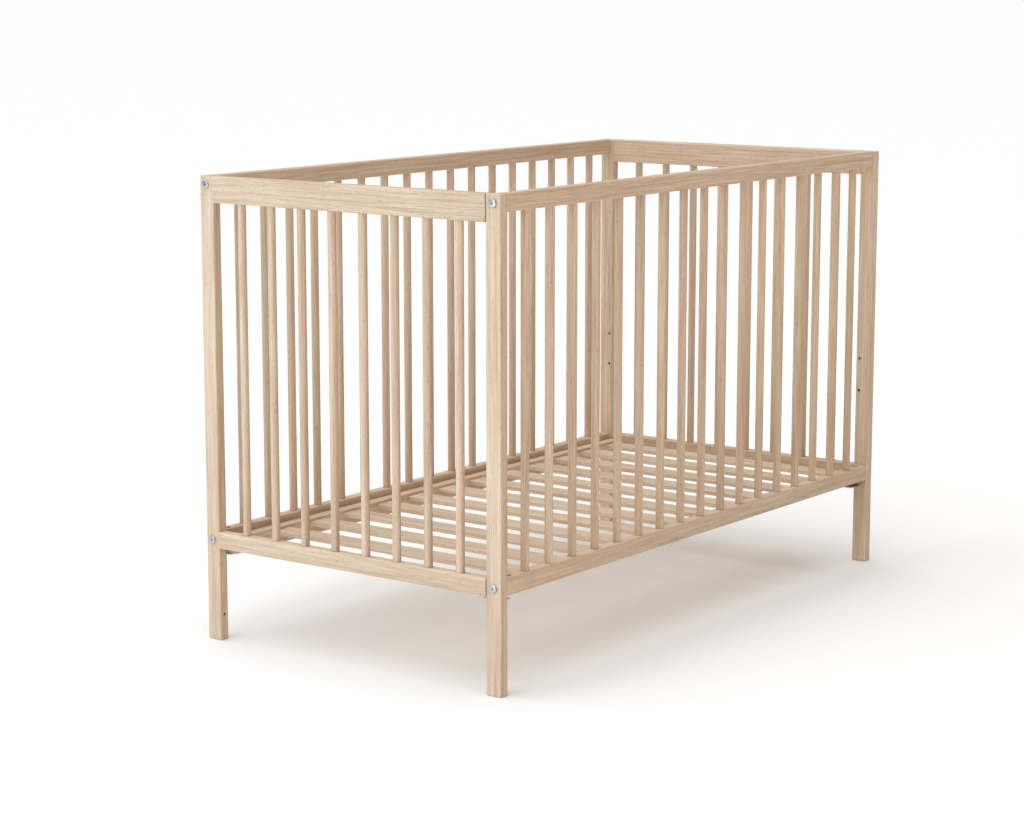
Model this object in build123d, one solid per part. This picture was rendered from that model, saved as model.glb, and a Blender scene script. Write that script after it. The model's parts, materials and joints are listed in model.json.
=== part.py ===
from build123d import *
import os

os.makedirs("parts", exist_ok=True)

# Baby crib in plain wood, in millimetres. +X runs to the head end, +Y to the right-hand side and +Z up.
# The origin is on the floor under the middle of the crib.

# Overall sizes
overall_length = 1240.0     # over the outer faces of the posts
overall_width = 646.0       # over the side faces of the posts
overall_height = 820.0

# Posts
post_thickness = 19.0       # along the crib
post_width = 30.0           # across the crib
post_rounding = 2.0

# Rails
rail_thickness = 21.0
rail_height = 30.0
end_top_rail_height = 46.0
rail_rounding = 3.0
bottom_rail_underside = 166.0
side_rail_setback = 2.0     # side rails sit this far in from the posts' side faces

# Spindles: round bars let into blind sockets in the rails
spindle_diameter = 14.5
spindle_play = 0.3          # all round the bar in its socket
socket_depth = 12.0
side_spindle_count = 17
end_spindle_count = 8
side_spindle_margin = 63.5  # post face to the middle of the first bar
end_spindle_margin = 58.5

# Mattress base: two side rails with slats housed in them
base_rail_thickness = 22.0
base_rail_height = 30.0
base_rail_underside = 155.0
base_rail_rounding = 2.0
base_end_gap = 3.0          # base to the end rails
base_side_gap = 6.0         # base to the side rails
slat_width = 43.0
slat_thickness = 8.0
slat_drop = 5.0             # slat top below the top of the base rails
slat_count = 13
slat_end_land = 4.0         # wood left beyond the last slat's housing
slat_rounding = 1.5
housing_depth = 11.0
housing_play = 0.2

# Heights of the three sets of base holes in the posts
base_hole_heights = (160.0, 346.0, 410.0)
base_hole_from_edge = 7.0   # post's inner edge to the hole
base_hole_depth = 14.0

# Small spare hole low on the inner side of each leg
leg_hole_diameter = 5.5
leg_hole_height = 46.0
leg_hole_depth = 15.0

# Panel bolts and barrel nuts
bolt_diameter = 6.0
bolt_play = 0.3             # all round a shank in its hole
bolt_length = 46.0
bolt_head_diameter = 14.0
bolt_head_height = 3.6
bolt_head_rounding = 1.6
bolt_inset = 2.0            # bolts and nuts sit this far inside the middle of the side rails
hex_across_flats = 4.0
hex_depth = 2.4
nut_diameter = 9.4
nut_length = 14.0
nut_play = 0.3
nut_from_post = 21.0        # post face to the middle of the nut
bolt_hole_past_nut = 11.0
nut_slot_width = 1.4
nut_slot_depth = 1.5

# Plain wooden dowels
end_dowel_diameter = 8.0
end_dowel_to_bolt_hole = 1.2   # wood left between the dowel's tip and the bolt hole behind it
end_dowel_in_rail = 18.0
end_top_dowel_spread = 24.0
end_bottom_dowel_spread = 14.0
side_dowel_diameter = 6.0
side_dowel_in_post = 9.0
side_dowel_in_rail = 12.0
side_dowel_above_bolt = 8.5
dowel_play = 0.3

# Steel angle brackets under the corners of the base, each held by one screw
bracket_thickness = 2.0
bracket_reach = 32.0
bracket_past_hole = 6.0     # upright plate's edges beyond its screw hole
bracket_under_rail = 10.0   # width of base rail that rests on the level plate
bracket_top_gap = 1.0       # bracket to the underside of the side rail
screw_diameter = 5.0
screw_play = 0.3
screw_head_diameter = 9.0
screw_head_height = 2.8
screw_head_rounding = 1.1
screw_length = 16.0
screw_socket_flats = 3.0
screw_socket_depth = 1.7

# Positions that follow from the sizes above
post_outer_x = overall_length / 2
post_outer_y = overall_width / 2
inner_x = post_outer_x - post_thickness
inner_y = post_outer_y - post_width
side_rail_outer_y = post_outer_y - side_rail_setback
side_rail_inner_y = side_rail_outer_y - rail_thickness
side_rail_y = side_rail_outer_y - rail_thickness / 2
bolt_y = side_rail_y - bolt_inset
end_rail_x = inner_x + rail_thickness / 2
post_x = inner_x + post_thickness / 2
end_dowel_in_post = bolt_y - bolt_diameter / 2 - bolt_play - end_dowel_to_bolt_hole - inner_y
bottom_rail_top = bottom_rail_underside + rail_height
top_side_rail_underside = overall_height - rail_height
top_end_rail_underside = overall_height - end_top_rail_height
bottom_bolt_z = bottom_rail_underside + rail_height / 2
top_bolt_z = overall_height - rail_height / 2
nut_x = inner_x - nut_from_post
base_half_length = inner_x - base_end_gap
base_outer_y = side_rail_inner_y - base_side_gap
base_inner_y = base_outer_y - base_rail_thickness
base_rail_top = base_rail_underside + base_rail_height
slat_top = base_rail_top - slat_drop
slat_underside = slat_top - slat_thickness
slat_half_length = base_inner_y + housing_depth
base_hole_y = inner_y + base_hole_from_edge

ends = {"head": 1, "foot": -1}
sides = {"left": -1, "right": 1}


def spread(count, first, last):
    """Evenly spaced positions from first to last."""
    return [first + (last - first) * i / (count - 1) for i in range(count)]


side_spindle_places = spread(side_spindle_count, side_spindle_margin - inner_x, inner_x - side_spindle_margin)
end_spindle_places = spread(end_spindle_count, end_spindle_margin - inner_y, inner_y - end_spindle_margin)
last_slat = base_half_length - slat_end_land - slat_width / 2
slat_places = spread(slat_count, -last_slat, last_slat)


def block(x, y, z):
    """A box between the low and high values given for each direction."""
    size = Box(x[1] - x[0], y[1] - y[0], z[1] - z[0])
    return Pos((x[0] + x[1]) / 2, (y[0] + y[1]) / 2, (z[0] + z[1]) / 2) * size


def rounded_bar(x, y, z, along, radius):
    """A box whose four long edges are rounded."""
    bar = block(x, y, z)
    return fillet(bar.edges().filter_by(along), radius)


def rod_x(start, end, y, z, diameter):
    """A round bar or hole that runs along X."""
    return Pos((start + end) / 2, y, z) * Rot(0, 90, 0) * Cylinder(diameter / 2, abs(end - start))


def rod_y(x, start, end, z, diameter):
    """A round bar or hole that runs along Y."""
    return Pos(x, (start + end) / 2, z) * Rot(90, 0, 0) * Cylinder(diameter / 2, abs(end - start))


def rod_z(x, y, start, end, diameter):
    """A round bar or hole that runs along Z."""
    return Pos(x, y, (start + end) / 2) * Cylinder(diameter / 2, abs(end - start))


def end_dowel_heights():
    """Heights of the dowels that join an end panel's two rails to its posts."""
    top_middle = overall_height - end_top_rail_height / 2
    return [
        middle + step * gap / 2
        for middle, gap in ((top_middle, end_top_dowel_spread), (bottom_bolt_z, end_bottom_dowel_spread))
        for step in (-1, 1)
    ]


def place(shape, end, side):
    """Turn a shape made at the head end's right corner into the one at any corner."""
    if end < 0:
        shape = mirror(shape, about=Plane.YZ)
    if side < 0:
        shape = mirror(shape, about=Plane.XZ)
    return shape


def make_post():
    """Corner post at the head end's right corner, with every hole drilled in it."""
    post = block((inner_x, post_outer_x), (inner_y, post_outer_y), (0, overall_height))
    post = fillet(post.edges(), post_rounding)
    for z in (bottom_bolt_z, top_bolt_z):
        post -= rod_x(inner_x - 1, post_outer_x + 1, bolt_y, z, bolt_diameter + 2 * bolt_play)
        dowel_z = z + side_dowel_above_bolt
        post -= rod_x(inner_x, inner_x + side_dowel_in_post, side_rail_y, dowel_z,
                      side_dowel_diameter + 2 * dowel_play)
    for z in base_hole_heights:
        post -= rod_x(inner_x, inner_x + base_hole_depth, base_hole_y, z, screw_diameter + 2 * screw_play)
    for z in end_dowel_heights():
        post -= rod_y(post_x, inner_y, inner_y + end_dowel_in_post, z, end_dowel_diameter + 2 * dowel_play)
    post -= rod_y(post_x, inner_y, inner_y + leg_hole_depth, leg_hole_height, leg_hole_diameter)
    return post


def make_end_rail(underside, top, socket_at_top):
    """Rail across the head end, with spindle sockets in one long face and dowel holes in its ends."""
    rail = rounded_bar((inner_x, inner_x + rail_thickness), (-inner_y, inner_y), (underside, top), Axis.Y,
                       rail_rounding)
    floor, mouth = (top - socket_depth, top) if socket_at_top else (underside + socket_depth, underside)
    for y in end_spindle_places:
        rail -= rod_z(end_rail_x, y, floor, mouth, spindle_diameter + 2 * spindle_play)
    for z in end_dowel_heights():
        if underside < z < top:
            for side in (-1, 1):
                rail -= rod_y(post_x, side * (inner_y - end_dowel_in_rail), side * inner_y, z,
                              end_dowel_diameter + 2 * dowel_play)
    return rail


def make_side_rail(underside, top, bolt_z, socket_at_top):
    """Rail along the right side, with spindle sockets, bolt holes, nut holes and dowel holes."""
    rail = rounded_bar((-inner_x, inner_x), (side_rail_inner_y, side_rail_outer_y), (underside, top), Axis.X,
                       rail_rounding)
    way = 1 if socket_at_top else -1
    mouth = top if socket_at_top else underside
    for x in side_spindle_places:
        rail -= rod_z(x, side_rail_y, mouth - way * socket_depth, mouth, spindle_diameter + 2 * spindle_play)
    for end in (-1, 1):
        rail -= rod_x(end * (nut_x - bolt_hole_past_nut), end * inner_x, bolt_y, bolt_z,
                      bolt_diameter + 2 * bolt_play)
        rail -= rod_z(end * nut_x, bolt_y, bolt_z - way * nut_length / 2, mouth,
                      nut_diameter + 2 * nut_play)
        rail -= rod_x(end * (inner_x - side_dowel_in_rail), end * inner_x, side_rail_y,
                      bolt_z + side_dowel_above_bolt, side_dowel_diameter + 2 * dowel_play)
    return rail


def make_base_rail():
    """Right-hand side rail of the mattress base, with a housing for each slat."""
    rail = rounded_bar((-base_half_length, base_half_length), (base_inner_y, base_outer_y),
                       (base_rail_underside, base_rail_top), Axis.X, base_rail_rounding)
    half = slat_width / 2 + housing_play
    for x in slat_places:
        rail -= block((x - half, x + half), (base_inner_y, slat_half_length),
                      (slat_underside, slat_top + 2 * housing_play))
    return rail


def make_slat(x):
    """One slat of the mattress base."""
    return rounded_bar((x - slat_width / 2, x + slat_width / 2), (-slat_half_length, slat_half_length),
                       (slat_underside, slat_top), Axis.Y, slat_rounding)


def make_panel_bolt(z):
    """Domed bolt with a hex socket, driven through a post into the side rail's end."""
    tip = post_outer_x - bolt_length
    crown = post_outer_x + bolt_head_height
    head = rod_x(post_outer_x, crown, bolt_y, z, bolt_head_diameter)
    head = fillet(head.edges().sort_by(Axis.X)[-1], bolt_head_rounding)
    socket = extrude(RegularPolygon(hex_across_flats / 2, 6, major_radius=False), hex_depth + 1)
    head -= Pos(crown - hex_depth, bolt_y, z) * Rot(0, 90, 0) * socket
    return head + rod_x(tip, post_outer_x, bolt_y, z, bolt_diameter)


def make_barrel_nut(z, way):
    """Cross nut that takes the bolt. Its slotted end faces the mouth of its hole."""
    nut = rod_z(nut_x, bolt_y, z - nut_length / 2, z + nut_length / 2, nut_diameter)
    nut -= rod_x(nut_x - nut_diameter, nut_x + nut_diameter, bolt_y, z, bolt_diameter + 2 * bolt_play)
    slotted_end = z + way * nut_length / 2
    nut -= Pos(nut_x, bolt_y, slotted_end) * Box(nut_diameter * 2, nut_slot_width, 2 * nut_slot_depth)
    return nut


def make_base_bracket():
    """Angle bracket: an upright plate on the post and a level plate under the base rail."""
    hole_z = base_hole_heights[0]
    level_top = base_rail_underside
    outer_edge = base_hole_y + bracket_past_hole
    upright = block((inner_x - bracket_thickness, inner_x),
                    (base_hole_y - bracket_past_hole, outer_edge),
                    (level_top - bracket_thickness, bottom_rail_underside - bracket_top_gap))
    level = block((inner_x - bracket_reach, inner_x), (base_outer_y - bracket_under_rail, outer_edge),
                  (level_top - bracket_thickness, level_top))
    hole = rod_x(inner_x - 2 * bracket_thickness, inner_x + 1, base_hole_y, hole_z,
                 screw_diameter + 2 * screw_play)
    return upright + level - hole


def make_bracket_screw():
    """Round-headed screw with a hex socket that holds a bracket to its post."""
    z = base_hole_heights[0]
    seat = inner_x - bracket_thickness
    head = rod_x(seat - screw_head_height, seat, base_hole_y, z, screw_head_diameter)
    head = fillet(head.edges().sort_by(Axis.X)[0], screw_head_rounding)
    socket = extrude(RegularPolygon(screw_socket_flats / 2, 6, major_radius=False), screw_socket_depth + 1)
    head -= Pos(seat - screw_head_height + screw_socket_depth, base_hole_y, z) * Rot(0, -90, 0) * socket
    return head + rod_x(seat, seat + screw_length - 1, base_hole_y, z, screw_diameter)


def at_corners(shape):
    """The same small piece at all four corners."""
    return [place(shape, end, side) for end in ends.values() for side in sides.values()]


def save(name, pieces):
    """Write one node. Several pieces stay separate solids in it."""
    shape = pieces[0] if len(pieces) == 1 else Compound(children=[s for p in pieces for s in p.solids()])
    export_step(shape, f"parts/{name}.step")


post = make_post()
top_end_rail = make_end_rail(top_end_rail_underside, overall_height, False)
bottom_end_rail = make_end_rail(bottom_rail_underside, bottom_rail_top, True)
top_side_rail = make_side_rail(top_side_rail_underside, overall_height, top_bolt_z, False)
bottom_side_rail = make_side_rail(bottom_rail_underside, bottom_rail_top, bottom_bolt_z, True)
base_rail = make_base_rail()

for end_name, end in ends.items():
    save(f"{end_name}_top_rail", [place(top_end_rail, end, 1)])
    save(f"{end_name}_bottom_rail", [place(bottom_end_rail, end, 1)])
    for number, y in enumerate(end_spindle_places, 1):
        bar = rod_z(end * end_rail_x, y, bottom_rail_top - socket_depth, top_end_rail_underside + socket_depth,
                    spindle_diameter)
        save(f"{end_name}_spindle_{number}", [bar])
    for side_name, side in sides.items():
        save(f"{end_name}_{side_name}_post", [place(post, end, side)])

for side_name, side in sides.items():
    save(f"{side_name}_top_rail", [place(top_side_rail, 1, side)])
    save(f"{side_name}_bottom_rail", [place(bottom_side_rail, 1, side)])
    save(f"{side_name}_base_rail", [place(base_rail, 1, side)])
    save(f"{side_name}_spindles", [
        rod_z(x, side * side_rail_y, bottom_rail_top - socket_depth, top_side_rail_underside + socket_depth,
              spindle_diameter)
        for x in side_spindle_places
    ])

for number, x in enumerate(slat_places, 1):
    save(f"slat_{number}", [make_slat(x)])

save("panel_bolts", at_corners(make_panel_bolt(bottom_bolt_z)) + at_corners(make_panel_bolt(top_bolt_z)))
save("barrel_nuts", at_corners(make_barrel_nut(bottom_bolt_z, 1)) + at_corners(make_barrel_nut(top_bolt_z, -1)))
save("base_brackets", at_corners(make_base_bracket()))
save("bracket_screws", at_corners(make_bracket_screw()))
save("end_dowels", [
    piece
    for z in end_dowel_heights()
    for piece in at_corners(rod_y(post_x, inner_y - end_dowel_in_rail, inner_y + end_dowel_in_post, z,
                                  end_dowel_diameter))
])
save("side_dowels", [
    piece
    for z in (bottom_bolt_z, top_bolt_z)
    for piece in at_corners(rod_x(inner_x - side_dowel_in_rail, inner_x + side_dowel_in_post, side_rail_y,
                                  z + side_dowel_above_bolt, side_dowel_diameter))
])
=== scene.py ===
# %% [markdown]
# # A wooden baby crib
#
# The crib is a bolted frame of plain beech: four posts, eight rails, fifty round bars and a slatted
# mattress base. This lesson loads the measured frame, gives every piece of wood a grain that runs the
# way the board was sawn, turns the round bars and the bolts as smooth new pieces, and lights the crib
# on a pale floor.

# %% Load the measured frame
import bmesh
import bpy
import json
import math
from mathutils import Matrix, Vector


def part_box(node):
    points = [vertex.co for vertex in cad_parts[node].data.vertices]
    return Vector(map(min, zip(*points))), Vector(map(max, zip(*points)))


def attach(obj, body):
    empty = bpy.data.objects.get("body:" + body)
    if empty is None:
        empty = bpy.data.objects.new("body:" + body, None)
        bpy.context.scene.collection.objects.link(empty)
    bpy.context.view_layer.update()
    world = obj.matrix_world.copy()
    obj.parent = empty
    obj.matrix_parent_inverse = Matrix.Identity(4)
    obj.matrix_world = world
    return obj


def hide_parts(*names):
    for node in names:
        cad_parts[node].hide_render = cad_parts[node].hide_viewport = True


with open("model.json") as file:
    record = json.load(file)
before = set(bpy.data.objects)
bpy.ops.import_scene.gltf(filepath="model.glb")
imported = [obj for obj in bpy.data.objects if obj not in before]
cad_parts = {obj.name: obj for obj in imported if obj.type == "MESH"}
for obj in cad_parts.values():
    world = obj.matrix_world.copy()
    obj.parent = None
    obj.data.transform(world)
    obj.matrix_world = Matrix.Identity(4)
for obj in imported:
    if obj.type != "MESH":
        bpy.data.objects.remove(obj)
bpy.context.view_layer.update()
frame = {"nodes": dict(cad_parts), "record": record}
MM = 0.001
bpy.ops.object.select_all(action="DESELECT")


# %% [markdown]
# ## Colours and nodes
#
# Colours are easier to read as the hex codes a paint chart or a picker gives. Those are sRGB, and a
# shader works in linear light, so one function turns one into the other. A second small function adds
# a shader node with its settings and its links, which keeps each material readable as a list of steps.
# A setting or a link is given by its name, or by its number where several sockets share one name.

# %% Two helpers for materials
def linear(code):
    """sRGB hex code to the linear colour a shader needs."""
    parts = [int(code[i:i + 2], 16) / 255 for i in (1, 3, 5)]
    return tuple(p / 12.92 if p <= 0.04045 else ((p + 0.055) / 1.055) ** 2.4 for p in parts) + (1.0,)


def add_node(tree, kind, settings=None, links=None):
    """Adds a node. Settings name its properties or sockets, and links say which output feeds a socket."""
    node = tree.nodes.new(kind)
    for name, value in (settings or {}).items():
        if isinstance(name, int) or name in node.inputs:
            node.inputs[name].default_value = value
        else:
            setattr(node, name, value)
    for name, output in (links or {}).items():
        tree.links.new(output, node.inputs[name])
    return node


print("half grey in linear light:", round(linear("#808080")[0], 3))

# %% [markdown]
# ## Sawn and sanded beech
#
# The whole crib is beech, planed and sanded and left without varnish. Beech is pale and slightly pink,
# with a fine straight grain, soft growth bands a few millimetres wide and many short darker flecks,
# which are its rays. Planing and sanding leave the surface dry, so the eye sees thin straight lines of
# two close tones under a broad dull sheen, with no bright reflection anywhere.
#
# An image of wood would need unwrapping, so the grain is made from noise that is stretched along the
# board. Every finished piece has its place in its mesh, so Object coordinates are one big block of
# wood for the whole crib, and no two pieces are cut from the same part of it. The only thing that
# changes from piece to piece is which way the fibres run: up, along the crib or across it.

# %% Beech, with its fibres along a chosen direction
BAND_WIDTH = 7.0        # growth bands, mm across the fibres
BAND_LENGTH = 260.0     # and how far one keeps its shade along them
FIBRE_WIDTH = 1.7       # fibre streaks: real ones are under 0.5 mm, drawn coarser so that they show
FIBRE_LENGTH = 95.0
FLECK_WIDTH = 1.3       # ray flecks: real ones are about 0.5 by 4 mm, drawn coarser for the same reason
FLECK_LENGTH = 9.0
BOARD_WIDTH = 55.0      # slow change of tone from one board to the next
BOARD_LENGTH = 900.0
FIBRE_SHARE = 0.62      # how much of the pattern is fibre streaks, the rest being growth bands
FLECK_STRENGTH = 0.42
NOISE_LOW, NOISE_HIGH = 0.36, 0.64      # noise between these makes the wood's tones
FLECK_LOW, FLECK_HIGH = 0.63, 0.73      # only the tips above these become flecks
BOARD_DARK, BOARD_PALE = 0.93, 1.06     # brightness of the darkest and the palest board
BEECH_IOR = 1.5
BEECH_ROUGHNESS = 0.62
FIBRE_RELIEF = 0.15     # mm


def grain(tree, place, fibres, width, length, detail, seed):
    """Noise stretched along the fibres: one streak is about width by length, in millimetres."""
    stretch = [1 / (width * MM)] * 3
    stretch["XYZ".index(fibres)] = 1 / (length * MM)
    moved = add_node(tree, "ShaderNodeMapping",
                     {"Scale": stretch, "Location": (seed, seed * 0.7, seed * 1.3)}, {"Vector": place})
    noise = add_node(tree, "ShaderNodeTexNoise",
                     {"Scale": 1.0, "Detail": detail, "Roughness": 0.55}, {"Vector": moved.outputs[0]})
    return noise.outputs["Fac"]


def beech(name, fibres, pale, dark, fleck, seed):
    """Sanded beech without varnish, its fibres along X, Y or Z."""
    material = bpy.data.materials.new(name)
    material.use_nodes = True
    tree = material.node_tree
    shader = tree.nodes["Principled BSDF"]
    shader.inputs["IOR"].default_value = BEECH_IOR
    place = add_node(tree, "ShaderNodeTexCoord").outputs["Object"]

    bands = grain(tree, place, fibres, BAND_WIDTH, BAND_LENGTH, 2.0, seed)
    streaks = grain(tree, place, fibres, FIBRE_WIDTH, FIBRE_LENGTH, 3.0, seed + 11)
    rays = grain(tree, place, fibres, FLECK_WIDTH, FLECK_LENGTH, 1.0, seed + 23)
    board = grain(tree, place, fibres, BOARD_WIDTH, BOARD_LENGTH, 1.0, seed + 37)

    # Bands and streaks together set how dark the wood is at a point.
    both = add_node(tree, "ShaderNodeMix", {"Factor": FIBRE_SHARE}, {"A": bands, "B": streaks})
    depth = add_node(tree, "ShaderNodeMapRange", {"From Min": NOISE_LOW, "From Max": NOISE_HIGH},
                     {"Value": both.outputs["Result"]})
    wood = add_node(tree, "ShaderNodeMix", {"data_type": "RGBA", 6: linear(pale), 7: linear(dark)},
                    {0: depth.outputs["Result"]})
    # The highest tips of one more noise are the flecks.
    tips = add_node(tree, "ShaderNodeMapRange",
                    {"From Min": FLECK_LOW, "From Max": FLECK_HIGH, "To Max": FLECK_STRENGTH},
                    {"Value": rays})
    flecked = add_node(tree, "ShaderNodeMix", {"data_type": "RGBA", 7: linear(fleck)},
                       {0: tips.outputs["Result"], 6: wood.outputs[2]})
    # Each board is a little lighter or darker than its neighbour.
    tone = add_node(tree, "ShaderNodeMapRange",
                    {"From Min": 0.3, "From Max": 0.7, "To Min": BOARD_DARK, "To Max": BOARD_PALE},
                    {"Value": board})
    toned = add_node(tree, "ShaderNodeHueSaturation", {},
                     {"Color": flecked.outputs[2], "Value": tone.outputs["Result"]})
    tree.links.new(toned.outputs["Color"], shader.inputs["Base Color"])

    # The streaks also change the sheen a little, and raise the fibres by a hair.
    dull = add_node(tree, "ShaderNodeMapRange",
                    {"To Min": BEECH_ROUGHNESS - 0.06, "To Max": BEECH_ROUGHNESS + 0.08}, {"Value": streaks})
    tree.links.new(dull.outputs["Result"], shader.inputs["Roughness"])
    bump = add_node(tree, "ShaderNodeBump", {"Strength": 0.12, "Distance": FIBRE_RELIEF * MM},
                    {"Height": both.outputs["Result"]})
    tree.links.new(bump.outputs["Normal"], shader.inputs["Normal"])
    return material


PALE, DARK, FLECK = "#E2D4C1", "#CBB399", "#A17A59"
woods = {
    "beech_upright": beech("sanded_beech_upright", "Z", PALE, DARK, FLECK, 1.0),
    "beech_lengthwise": beech("sanded_beech_lengthwise", "X", PALE, DARK, FLECK, 2.0),
    "beech_crosswise": beech("sanded_beech_crosswise", "Y", PALE, DARK, FLECK, 3.0),
    "beech_slats": beech("sanded_beech_slats", "Y", PALE, DARK, FLECK, 4.0),
}
print("woods:", sorted(woods))

# %% [markdown]
# ## Zinc-plated steel
#
# The bolts, nuts, brackets and screws are steel with a thin coat of bright zinc. Zinc plating is a
# light grey metal with soft cloudy patches, so its colour changes only slightly while its roughness
# wanders. To the eye it is a small bright spot that is never quite a mirror. A metal keeps the default
# IOR.

# %% Zinc plate
CLOUD_SIZE = 3.0        # mm


def zinc_plate():
    """Bright zinc on steel, with cloudy patches."""
    material = bpy.data.materials.new("zinc_plated_steel")
    material.use_nodes = True
    tree = material.node_tree
    shader = tree.nodes["Principled BSDF"]
    shader.inputs["Metallic"].default_value = 1.0
    place = add_node(tree, "ShaderNodeTexCoord").outputs["Object"]
    cloud = add_node(tree, "ShaderNodeTexNoise", {"Scale": 1 / (CLOUD_SIZE * MM), "Detail": 3.0},
                     {"Vector": place})
    grey = add_node(tree, "ShaderNodeMix",
                    {"data_type": "RGBA", 6: linear("#B9BDC1"), 7: linear("#D9DBDD")},
                    {0: cloud.outputs["Fac"]})
    tree.links.new(grey.outputs[2], shader.inputs["Base Color"])
    rough = add_node(tree, "ShaderNodeMapRange", {"To Min": 0.22, "To Max": 0.38},
                     {"Value": cloud.outputs["Fac"]})
    tree.links.new(rough.outputs["Result"], shader.inputs["Roughness"])
    return material


finishes = dict(woods, zinc_steel=zinc_plate())
print("finishes:", sorted(finishes))

# %% [markdown]
# ## A finish for every piece of the frame
#
# The frame's record says which finish each node has. A node keeps its own mesh, and only what is in its
# material slots changes.

# %% Finishes on the frame's nodes
slot_of = {part["node"]: part["material_slot"] for part in frame["record"]["subparts"]}
for name, node in frame["nodes"].items():
    for i in range(len(node.material_slots)):
        node.material_slots[i].material = finishes[slot_of[name]]
print("finished", len(slot_of), "nodes")

# %% [markdown]
# ## The round bars
#
# Each bar is a turned dowel with a small chamfer at both ends, where it enters its socket. The measured
# frame holds it as a coarse many-sided rod, which is right for collisions but shows flats in the light.
# So one bar is made here from a cylinder with more sides, its end edges are bevelled in edit mode, and
# the rest are copies. Each copy is moved by its mesh, so that every bar is cut from its own wood.

# %% A bar, and small helpers to finish a piece
END_BARS = 8            # at each end
BAR_SIDES = 40
BAR_CHAMFER = 0.9 * MM
NEAR = 1e-5             # metres: two heights closer than this are the same


def select_only(obj):
    """Make this the only selected object, and the active one."""
    bpy.ops.object.select_all(action="DESELECT")
    obj.select_set(True)
    bpy.context.view_layer.objects.active = obj


def add_cylinder(name, sides, radius, depth, location, rotation=(0, 0, 0)):
    """Add a cylinder with nothing else selected, and leave its place in its mesh."""
    bpy.ops.object.select_all(action="DESELECT")
    bpy.ops.mesh.primitive_cylinder_add(vertices=sides, radius=radius, depth=depth, location=location,
                                        rotation=rotation)
    cylinder = bpy.context.active_object
    cylinder.name = cylinder.data.name = name
    bpy.ops.object.transform_apply(location=True, rotation=True, scale=True)
    return cylinder


def start_edit(obj):
    """Enter edit mode on one object with nothing selected in it."""
    select_only(obj)
    bpy.ops.object.mode_set(mode="EDIT")
    bpy.ops.mesh.select_all(action="DESELECT")


def select_edges(obj, wanted):
    """Select the edges whose two ends both pass a test on their position."""
    mesh = bmesh.from_edit_mesh(obj.data)
    for edge in mesh.edges:
        edge.select_set(all(wanted(v.co) for v in edge.verts))
    bmesh.update_edit_mesh(obj.data)


def select_face(obj, direction):
    """Select the one face that lies furthest in a direction, of those that point that way."""
    mesh = bmesh.from_edit_mesh(obj.data)
    facing = [f for f in mesh.faces if f.normal.dot(direction) > 0.99]
    furthest = max(facing, key=lambda f: f.calc_center_median().dot(direction))
    for f in mesh.faces:
        f.select_set(f == furthest)
    bmesh.update_edit_mesh(obj.data)


def finish_shape(obj, degrees, slot):
    """Leave edit mode, shade the rounded faces smooth and give the piece its finish."""
    if obj.mode == "EDIT":
        bpy.ops.object.mode_set(mode="OBJECT")
    select_only(obj)
    bpy.ops.object.shade_smooth_by_angle(angle=math.radians(degrees))
    obj.data.materials.append(finishes[slot])


def copy_of(obj, move):
    """A copy with a mesh of its own, each of whose points is put where move says."""
    copy = obj.copy()
    copy.data = obj.data.copy()
    bpy.context.collection.objects.link(copy)
    for v in copy.data.vertices:
        v.co = move(v.co)
    return copy


def join(parts, name):
    """Make one object of several."""
    select_only(parts[0])
    for part in parts:
        part.select_set(True)
    bpy.ops.object.join()
    parts[0].name = parts[0].data.name = name
    return parts[0]


def hand_over(piece, node):
    """Make a piece move with the crib's frame, and hide the node that it stands for."""
    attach(piece, "frame")
    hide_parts(node)


print("a bar has", BAR_SIDES, "sides")

# %% [markdown]
# A turned bar starts as a cylinder, and one bevel at each end makes its chamfer. The bars of the two ends
# each have a node of their own, whose box gives the bar its place.

# %% Bars at the two ends
def make_bar(name, low, high):
    """A chamfered dowel that fills the box from low to high."""
    size = high - low
    bar = add_cylinder(name, BAR_SIDES, size.x / 2, size.z, (low + high) / 2)
    start_edit(bar)
    for end in (low.z, high.z):
        select_edges(bar, lambda co: abs(co.z - end) < NEAR)
        bpy.ops.mesh.bevel(offset=BAR_CHAMFER, segments=2, affect="EDGES")
    finish_shape(bar, 40, "beech_upright")
    return bar


first_low, first_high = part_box("foot_spindle_1")
pattern = make_bar("end_bar_pattern", first_low, first_high)
for end in ("foot", "head"):
    for number in range(1, END_BARS + 1):
        node = f"{end}_spindle_{number}"
        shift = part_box(node)[0] - first_low
        bar = copy_of(pattern, lambda co: co + shift)
        bar.name = bar.data.name = f"{end}_bar_{number}"
        hand_over(bar, node)
bpy.data.objects.remove(pattern)
print("end bars:", 2 * END_BARS, "of", round((first_high.z - first_low.z) / MM), "mm")

# %% [markdown]
# The long sides each hold seventeen bars in one node, so the first and last bar's places come from the
# box of that node and the others are spaced evenly between them.

# %% Bars on the two sides
SIDE_BARS = 17
for side in ("left", "right"):
    low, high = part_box(f"{side}_spindles")
    across = high.y - low.y
    first = make_bar("side_bar_pattern", low, Vector((low.x + across, high.y, high.z)))
    step = (high.x - low.x - across) / (SIDE_BARS - 1)
    bars = [copy_of(first, lambda co: co + Vector((i * step, 0, 0))) for i in range(SIDE_BARS)]
    bpy.data.objects.remove(first)
    bars = join(bars, f"{side}_bars")
    hand_over(bars, f"{side}_spindles")
    print(side, "bars every", round(step / MM, 2), "mm,", len(bars.data.polygons), "faces")

# %% [markdown]
# ## Bolts and screws
#
# Each side rail is pulled against the posts by bolts with a low domed head and a hexagonal socket. The
# same shape in a smaller size holds the base brackets. A head could be spun from a profile, but starting
# from a cylinder is quicker: its rim is bevelled round, the face below is inset and pulled out to make
# the shank, and a six-sided cutter sinks the socket. It is made once, at the origin and pointing up.

# %% A round-headed fastener
ROUND_SIDES = 48


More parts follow.
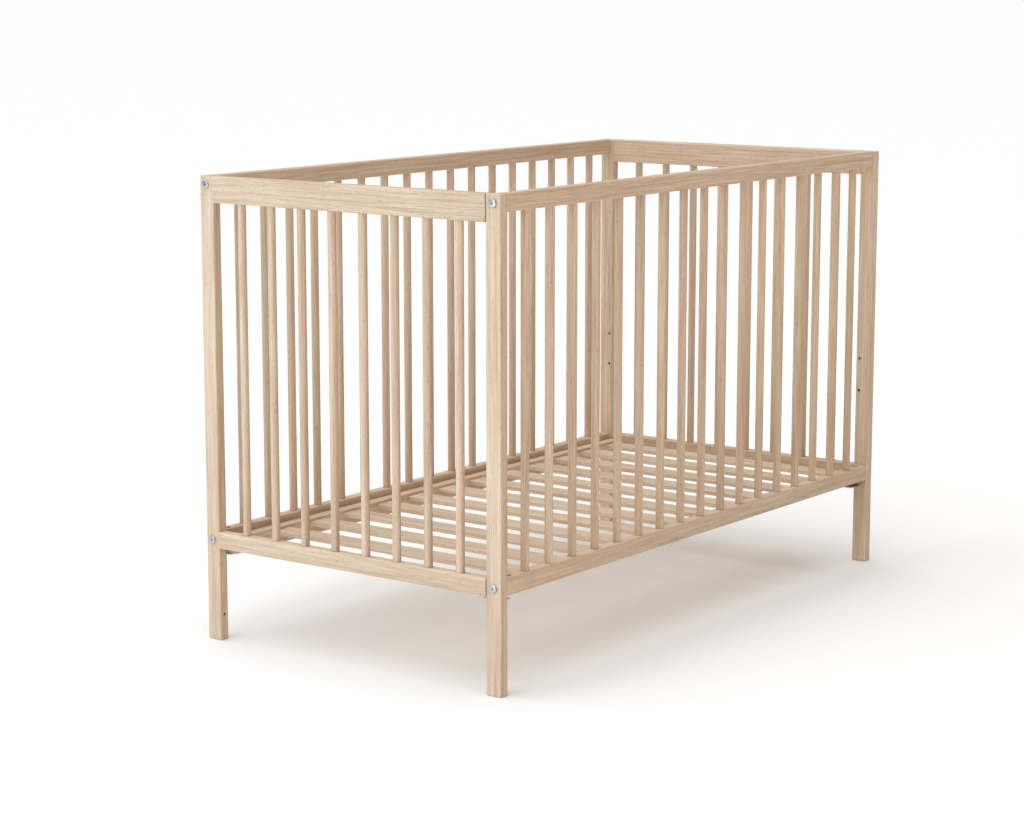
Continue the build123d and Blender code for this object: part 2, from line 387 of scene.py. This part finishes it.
def cut(obj, cutter):
    """Take the cutter's shape out of the object, and the cutter away."""
    boolean = obj.modifiers.new("cut", "BOOLEAN")
    boolean.object = cutter
    boolean.operation = "DIFFERENCE"
    boolean.solver = "EXACT"
    bpy.context.view_layer.objects.active = obj
    bpy.ops.object.modifier_apply(modifier=boolean.name)
    bpy.data.objects.remove(cutter)


def make_fastener(name, head_radius, head_height, rounding, shank_radius, shank_length, flats, socket_depth):
    """Domed head on z = 0 with its crown up, a hex socket in it and a plain shank below."""
    bolt = add_cylinder(name, ROUND_SIDES, head_radius, head_height, (0, 0, head_height / 2))
    start_edit(bolt)
    select_edges(bolt, lambda co: abs(co.z - head_height) < NEAR)
    bpy.ops.mesh.bevel(offset=rounding, segments=5, affect="EDGES")
    select_face(bolt, Vector((0, 0, -1)))
    bpy.ops.mesh.inset(thickness=head_radius - shank_radius)
    bpy.ops.mesh.extrude_region_move(TRANSFORM_OT_translate={"value": (0, 0, -shank_length)})
    bpy.ops.mesh.bevel(offset=shank_radius * 0.25, segments=2, affect="EDGES")
    bpy.ops.object.mode_set(mode="OBJECT")
    cut(bolt, add_cylinder("socket_cutter", 6, flats / math.sqrt(3), 2 * socket_depth, (0, 0, head_height)))
    finish_shape(bolt, 35, "zinc_steel")
    return bolt


def set_of(pattern, name, node, places):
    """Copies of a pattern that points up, each turned to a direction and put at a place, as one piece."""
    copies = []
    for place, direction in places:
        turn = Vector(direction).to_track_quat("Z", "Y").to_matrix()
        copies.append(copy_of(pattern, lambda co: turn @ co + Vector(place)))
    bpy.data.objects.remove(pattern)
    hand_over(join(copies, name), node)


# %% [markdown]
# The panel bolts sit on the ends of the posts, at the middle height of the side rails. The frame's box
# of all eight gives the line that they lie on.

# %% Eight panel bolts
BOLT_HEAD = 7.0 * MM            # radius
bolt_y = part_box("panel_bolts")[1].y - BOLT_HEAD
bolt_heights = []
for level in ("bottom", "top"):
    low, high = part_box(f"right_{level}_rail")
    bolt_heights.append((low.z + high.z) / 2)
seat_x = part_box("head_right_post")[1].x
panel_bolt = make_fastener("panel_bolt_pattern", head_radius=BOLT_HEAD, head_height=3.6 * MM,
                           rounding=1.6 * MM, shank_radius=3 * MM, shank_length=46 * MM,
                           flats=4 * MM, socket_depth=2.4 * MM)
set_of(panel_bolt, "panel_bolt_set", "panel_bolts",
       [((end * seat_x, side * bolt_y, z), (end, 0, 0))
        for end in (-1, 1) for side in (-1, 1) for z in bolt_heights])
print("bolt seats at x", round(seat_x, 4), "heights", [round(z, 3) for z in bolt_heights])

# %% [markdown]
# The bracket screws point outwards from the inside of the crib, so their heads face the middle of it.
# They rest on the brackets' upright plates.

# %% Four bracket screws
SCREW_HEAD = 4.5 * MM           # radius
BRACKET_PLATE = 2.0 * MM
screws_low, screws_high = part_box("bracket_screws")
screw_y = screws_high.y - SCREW_HEAD
screw_z = (screws_low.z + screws_high.z) / 2
screw_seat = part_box("base_brackets")[1].x - BRACKET_PLATE
screw = make_fastener("bracket_screw_pattern", head_radius=SCREW_HEAD, head_height=2.8 * MM,
                      rounding=1.1 * MM, shank_radius=2.5 * MM, shank_length=15 * MM,
                      flats=3 * MM, socket_depth=1.7 * MM)
set_of(screw, "bracket_screw_set", "bracket_screws",
       [((end * screw_seat, side * screw_y, screw_z), (-end, 0, 0)) for end in (-1, 1) for side in (-1, 1)])
print("screw seats at x", round(screw_seat, 4))

# %% [markdown]
# ## Barrel nuts
#
# Each bolt runs into a short steel cylinder that lies across the rail in a hole of its own, and a slot in
# the cylinder's end lets a screwdriver turn it until its cross hole faces the bolt. The slot is a thin
# block cut out of the end and the cross hole is a second cylinder cut through the side.

# %% Eight barrel nuts
NUT_RADIUS = 4.7 * MM
NUT_LENGTH = 14 * MM
NUT_CHAMFER = 0.5 * MM
SLOT_WIDTH, SLOT_DEPTH = 1.4 * MM, 1.5 * MM
CROSS_HOLE = 3.3 * MM           # radius
HOLE_SIDES = 32
PAST_NUT = 20 * MM              # length of a cutter, so that it goes right through
nut_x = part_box("barrel_nuts")[1].x - NUT_RADIUS
nut = add_cylinder("barrel_nut_pattern", ROUND_SIDES, NUT_RADIUS, NUT_LENGTH, (0, 0, 0))
start_edit(nut)
for end in (-1, 1):
    select_edges(nut, lambda co: abs(co.z - end * NUT_LENGTH / 2) < NEAR)
    bpy.ops.mesh.bevel(offset=NUT_CHAMFER, segments=3, affect="EDGES")
bpy.ops.object.mode_set(mode="OBJECT")
bpy.ops.object.select_all(action="DESELECT")
bpy.ops.mesh.primitive_cube_add(size=1, location=(0, 0, NUT_LENGTH / 2),
                                scale=(PAST_NUT, SLOT_WIDTH, 2 * SLOT_DEPTH))
cut(nut, bpy.context.active_object)
cut(nut, add_cylinder("hole_cutter", HOLE_SIDES, CROSS_HOLE, PAST_NUT, (0, 0, 0), (0, math.pi / 2, 0)))
finish_shape(nut, 35, "zinc_steel")

# The slot faces up in the bottom rails and down in the top rails.
nuts = [copy_of(nut, lambda co: Vector((co.x + end * nut_x, up * co.y + side * bolt_y, up * co.z + z)))
        for end in (-1, 1) for side in (-1, 1) for z, up in zip(bolt_heights, (1, -1))]
bpy.data.objects.remove(nut)
hand_over(join(nuts, "barrel_nut_set"), "barrel_nuts")
print("nuts at x", round(nut_x, 4), "y", round(bolt_y, 4))

# %% [markdown]
# ## The camera
#
# The crib is seen from beyond its foot end and its left side, from about chest height, with a long lens
# so that the posts stay nearly upright. The place, the direction and the lens were worked out from the
# crib's own measured corners.

# %% Camera
CAMERA_PLACE = (-3.8421, -2.7253, 1.1607)
CAMERA_TURN = math.radians(-53.548)
CAMERA_DROP = math.radians(9.66)
LENS = 89.86            # mm, for a sensor 36 mm wide

camera_data = bpy.data.cameras.new("camera")
camera = bpy.data.objects.new("camera", camera_data)
bpy.context.scene.collection.objects.link(camera)
level = math.cos(CAMERA_DROP)
ahead = Vector((-math.sin(CAMERA_TURN) * level, math.cos(CAMERA_TURN) * level, -math.sin(CAMERA_DROP)))
camera.location = CAMERA_PLACE
camera.rotation_mode = "QUATERNION"
camera.rotation_quaternion = ahead.to_track_quat("-Z", "Y")
camera_data.sensor_width = 36.0
camera_data.lens = LENS
camera_data.clip_end = 1000.0
bpy.context.scene.camera = camera
print("camera at", CAMERA_PLACE)

# %% [markdown]
# ## Floor and light
#
# A pale matt floor runs on past the horizon. Most of the light comes from nearly straight above, from a
# source so wide that the crib's shadow has no edges and is deepest under the middle of the base. A soft
# cool lamp beyond the foot end makes the end panel the brightest side, and a warmer one lights the long
# side. The surround adds a little light from everywhere, and looks white behind the floor's edge.

# %% Floor
FLOOR_SIZE = 600.0              # metres
bpy.ops.object.select_all(action="DESELECT")
bpy.ops.mesh.primitive_plane_add(size=FLOOR_SIZE, location=(0, 0, 0))
floor = bpy.context.active_object
floor.name = "floor"
paint = bpy.data.materials.new("matt_white_floor_paint")
paint.use_nodes = True
floor_shader = paint.node_tree.nodes["Principled BSDF"]
floor_shader.inputs["Base Color"].default_value = linear("#F6F6F5")
floor_shader.inputs["Roughness"].default_value = 0.9
floor_shader.inputs["Specular IOR Level"].default_value = 0.1
floor.data.materials.append(paint)
print("floor:", FLOOR_SIZE, "m wide")

# %% [markdown]
# A sun can be given an angle: at 0.5 degrees it is a hard outdoor sun, and at 105 it is like a bright
# ceiling. The two area lamps are as wide as windows, so their shadows stay soft as well. All three are
# made the same way, so one function does what they share.

# %% Lamps
def soft_light(name, kind, energy, colour, place, aim):
    """A lamp at a place, turned towards another."""
    data = bpy.data.lights.new(name, kind)
    data.energy = energy
    data.color = linear(colour)[:3]
    lamp = bpy.data.objects.new(name, data)
    bpy.context.scene.collection.objects.link(lamp)
    lamp.location = place
    lamp.rotation_mode = "QUATERNION"
    lamp.rotation_quaternion = (Vector(aim) - Vector(place)).to_track_quat("-Z", "Y")
    return data


OVERHEAD_ANGLE = math.radians(105)
overhead = soft_light("overhead_light", "SUN", 3.0, "#FAFCFF", (0, 0, 0), (0.2, -0.15, -0.95))
overhead.angle = OVERHEAD_ANGLE
foot_end = soft_light("foot_end_light", "AREA", 16.5, "#D9ECFF", (-2.9, 0.25, 0.8), (-0.6, 0, 0.55))
side_on = soft_light("side_light", "AREA", 26, "#FFB877", (-2.0, -4.7, 1.5), (-0.4, 0, 0.5))
for lamp, size in ((foot_end, (1.6, 1.6)), (side_on, (2.4, 1.8))):
    lamp.shape = "RECTANGLE"
    lamp.size, lamp.size_y = size
print("lamps:", [light.name for light in bpy.data.lights])

# %% [markdown]
# The surround should look white behind the floor but give only a dim light, or the shadow would fade. A
# Light Path node tells the camera's own rays from all others, so the two can have different strengths.

# %% Surround and tones
SURROUND_LIGHT = 0.22           # what the surround gives as light
SURROUND_SEEN = 1.3             # and how bright it looks behind the floor's edge
world = bpy.data.worlds.new("pale_surround")
bpy.context.scene.world = world
world.use_nodes = True
surround = world.node_tree.nodes["Background"]
surround.inputs["Color"].default_value = linear("#FFF9F2")
seen = add_node(world.node_tree, "ShaderNodeLightPath").outputs["Is Camera Ray"]
strength = add_node(world.node_tree, "ShaderNodeMapRange",
                    {"To Min": SURROUND_LIGHT, "To Max": SURROUND_SEEN}, {"Value": seen})
world.node_tree.links.new(strength.outputs["Result"], surround.inputs["Strength"])
# A gamma under one deepens the shaded wood a little, and leaves white as it is.
bpy.context.scene.view_settings.view_transform = "Standard"
bpy.context.scene.view_settings.gamma = 0.8
print("surround strength", SURROUND_LIGHT, "seen as", SURROUND_SEEN)
